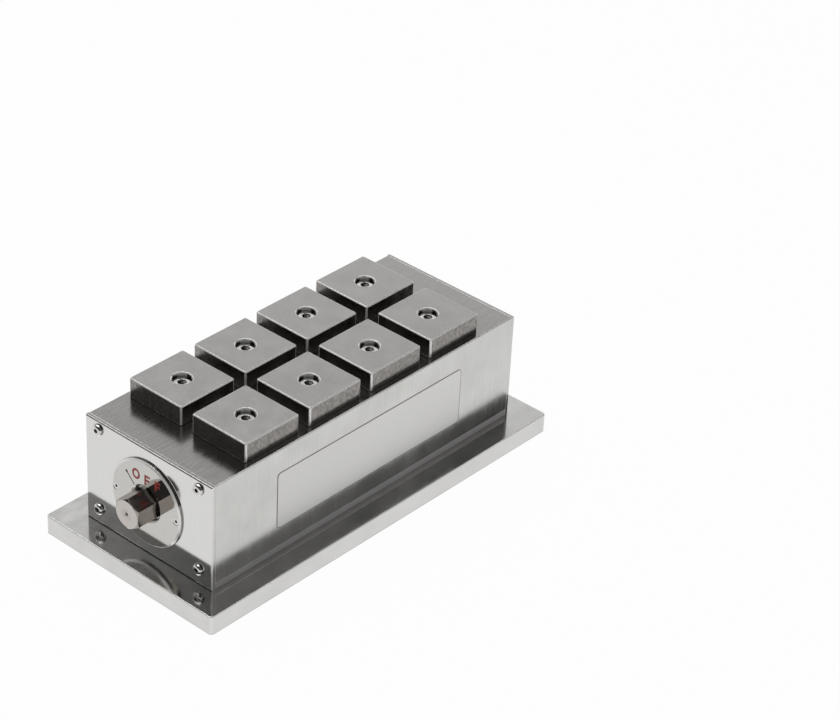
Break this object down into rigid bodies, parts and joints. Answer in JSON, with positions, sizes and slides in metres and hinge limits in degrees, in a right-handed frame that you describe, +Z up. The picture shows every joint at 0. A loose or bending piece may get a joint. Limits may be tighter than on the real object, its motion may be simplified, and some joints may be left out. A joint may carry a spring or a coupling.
{
  "type": "magnetic chuck",
  "caption": "Switchable permanent-magnet chuck: ground steel body on a flanged base plate, square pole blocks screwed on top, and a hexagon drive in a round OFF dial at one end.",
  "frame": {"origin": "centre of the base plate's underside", "axes": "+X along the body away from the drive hexagon and dial, +Y across the body to the left as seen from the drive end, +Z up towards the pole faces"},
  "size_m": [0.34, 0.16, 0.113],
  "materials": {
    "base_steel": "fine ground, satin",
    "ground_steel": "surface ground, fine straight grain",
    "strip_steel": "milled, satin",
    "dial_metal": "polished, bevelled rim",
    "screw_steel": "bright",
    "shaft_steel": "machined and polished",
    "pole_iron": "ground, satin",
    "inner_iron": "machined",
    "brass": "machined",
    "bronze": "machined",
    "magnet_plating": "nickel plated",
    "seal_rubber": "matte"
  },
  "bodies": {
    "chuck": {"base_plate": "base_steel", "bottom_plate": "strip_steel", "dial_plate": "dial_metal", "dial_screws": "screw_steel", "front_bearing": "bronze", "front_cover": "ground_steel", "front_cover_screws": "screw_steel", "front_thrust_washer": "bronze", "housing": "ground_steel", "housing_screws": "screw_steel", "pole_block_l1": "pole_iron", "pole_block_l2": "pole_iron", "pole_block_l3": "pole_iron", "pole_block_l4": "pole_iron", "pole_block_r1": "pole_iron", "pole_block_r2": "pole_iron", "pole_block_r3": "pole_iron", "pole_block_r4": "pole_iron", "pole_core_l1": "inner_iron", "pole_core_l2": "inner_iron", "pole_core_l3": "inner_iron", "pole_core_l4": "inner_iron", "pole_core_r1": "inner_iron", "pole_core_r2": "inner_iron", "pole_core_r3": "inner_iron", "pole_core_r4": "inner_iron", "pole_screws": "screw_steel", "pole_shoe_left": "inner_iron", "pole_shoe_right": "inner_iron", "rear_bearing": "bronze", "rear_cover": "ground_steel", "rear_cover_screws": "screw_steel", "rear_thrust_washer": "bronze", "separator_lower": "brass", "separator_upper": "brass", "shaft_seal": "seal_rubber", "shoe_screws": "screw_steel", "stop_pin": "shaft_steel"},
    "rotor": {"drive_shaft": "shaft_steel", "tail_shaft": "shaft_steel", "rotor_segment_upper": "inner_iron", "rotor_segment_lower": "inner_iron", "rotor_magnet_1": "magnet_plating", "rotor_magnet_2": "magnet_plating", "rotor_magnet_3": "magnet_plating", "rotor_magnet_4": "magnet_plating", "rotor_screws_front": "screw_steel", "rotor_screws_rear": "screw_steel"}
  },
  "joints": [
    {"name": "switch_turn", "type": "hinge", "parent": "chuck", "child": "rotor", "pos_m": [-0.15, 0, 0.0565], "axis": [1, 0, 0], "range_deg": [0, 90]}
  ]
}
